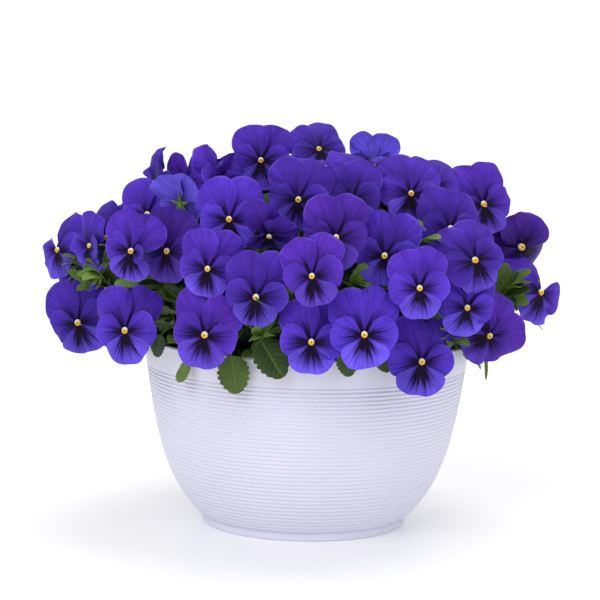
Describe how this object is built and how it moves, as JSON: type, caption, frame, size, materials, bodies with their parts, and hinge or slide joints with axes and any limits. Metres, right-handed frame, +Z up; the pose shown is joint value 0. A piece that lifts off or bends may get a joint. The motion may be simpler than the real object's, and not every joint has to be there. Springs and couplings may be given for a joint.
{
  "type": "potted viola",
  "caption": "Dome of violet-blue violas with dark blotches and yellow eyes, with their leaves, in a white ribbed plastic bowl.",
  "frame": {"origin": "middle of the pot's flat underside, where it stands on the ground", "axes": "+Z up along the pot's axis; the side that the picture shows faces -Y; +X is to the right of that view"},
  "size_m": [0.4013, 0.3782, 0.319],
  "materials": {
    "white_plastic": "satin",
    "potting_soil": "matte",
    "leaf": "satin",
    "petal": "satin"
  },
  "bodies": {
    "root": {"pot": "white_plastic", "soil": "potting_soil", "plant_1": "leaf", "plant_2": "leaf", "plant_3": "leaf", "bloom_01": "petal", "bloom_02": "petal", "bloom_03": "petal", "bloom_04": "petal", "bloom_05": "petal", "bloom_06": "petal", "bloom_07": "petal", "bloom_08": "petal", "bloom_09": "petal", "bloom_10": "petal", "bloom_11": "petal", "bloom_12": "petal", "bloom_13": "petal", "bloom_14": "petal", "bloom_15": "petal", "bloom_16": "petal", "bloom_17": "petal", "bloom_18": "petal", "bloom_19": "petal", "bloom_20": "petal", "bloom_21": "petal", "bloom_22": "petal", "bloom_23": "petal", "bloom_24": "petal", "bloom_25": "petal", "bloom_26": "petal", "bloom_27": "petal", "bloom_28": "petal", "bloom_29": "petal", "bloom_30": "petal", "bloom_31": "petal", "bloom_32": "petal", "bloom_33": "petal", "bloom_34": "petal", "bloom_35": "petal", "bloom_36": "petal", "bloom_37": "petal", "bloom_38": "petal", "bloom_39": "petal", "bloom_row_01": "petal", "bloom_row_02": "petal", "bloom_row_03": "petal", "bloom_row_04": "petal", "bloom_row_05": "petal", "bloom_row_06": "petal", "bloom_row_07": "petal", "bloom_row_08": "petal", "bloom_row_09": "petal", "bloom_row_10": "petal", "bloom_row_11": "petal", "bloom_row_12": "petal", "bloom_row_13": "petal", "bloom_row_14": "petal", "bloom_row_15": "petal", "bloom_row_16": "petal"}
  },
  "joints": []
}
